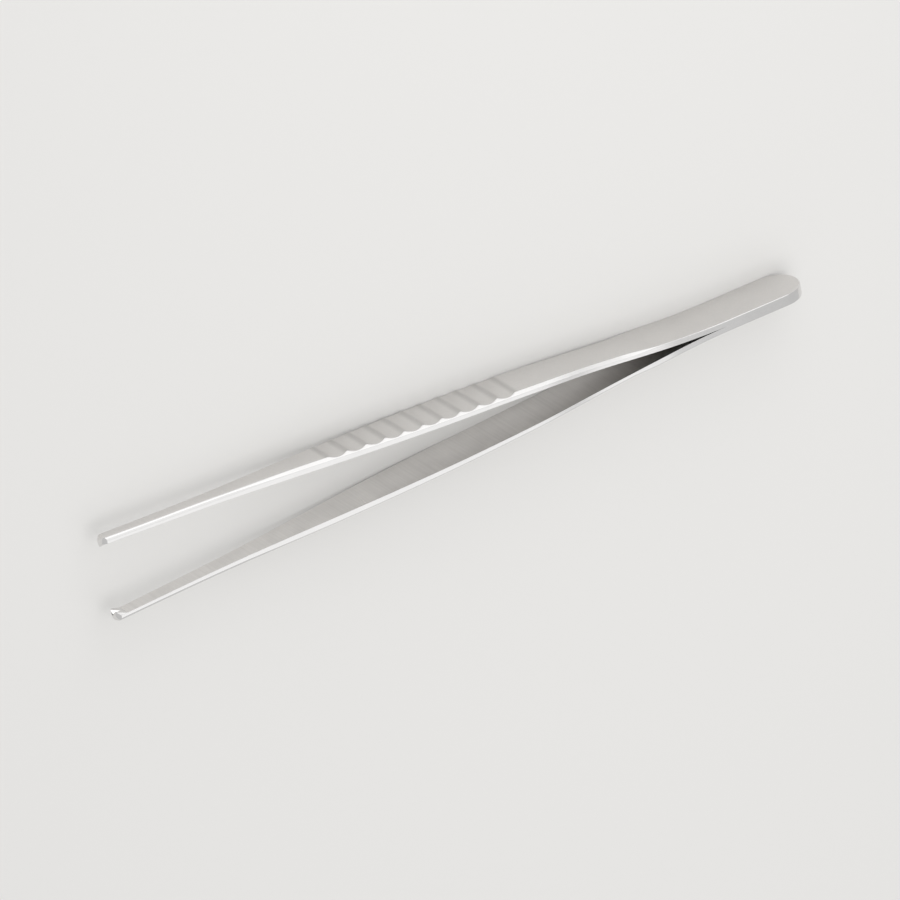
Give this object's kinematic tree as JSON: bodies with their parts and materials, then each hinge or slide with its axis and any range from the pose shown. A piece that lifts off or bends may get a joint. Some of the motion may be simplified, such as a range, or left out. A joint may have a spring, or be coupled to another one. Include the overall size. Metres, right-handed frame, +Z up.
{
  "type": "thumb forceps",
  "caption": "Steel thumb forceps: sprung arms joined flat at the head, with fluted thumb grips and slim jaws whose nose teeth interlock.",
  "frame": {"origin": "under the middle of the forceps' box, on the surface that they lie on", "axes": "+X from the welded head to the jaws, +Y the way the arms open towards the arm with two teeth, +Z up across the width of the arms"},
  "size_m": [0.146, 0.017, 0.0094],
  "materials": {
    "steel": "satin stainless steel with polished edges"
  },
  "bodies": {
    "root": {"single_tooth_arm": "steel", "twin_tooth_arm": "steel"}
  },
  "joints": []
}
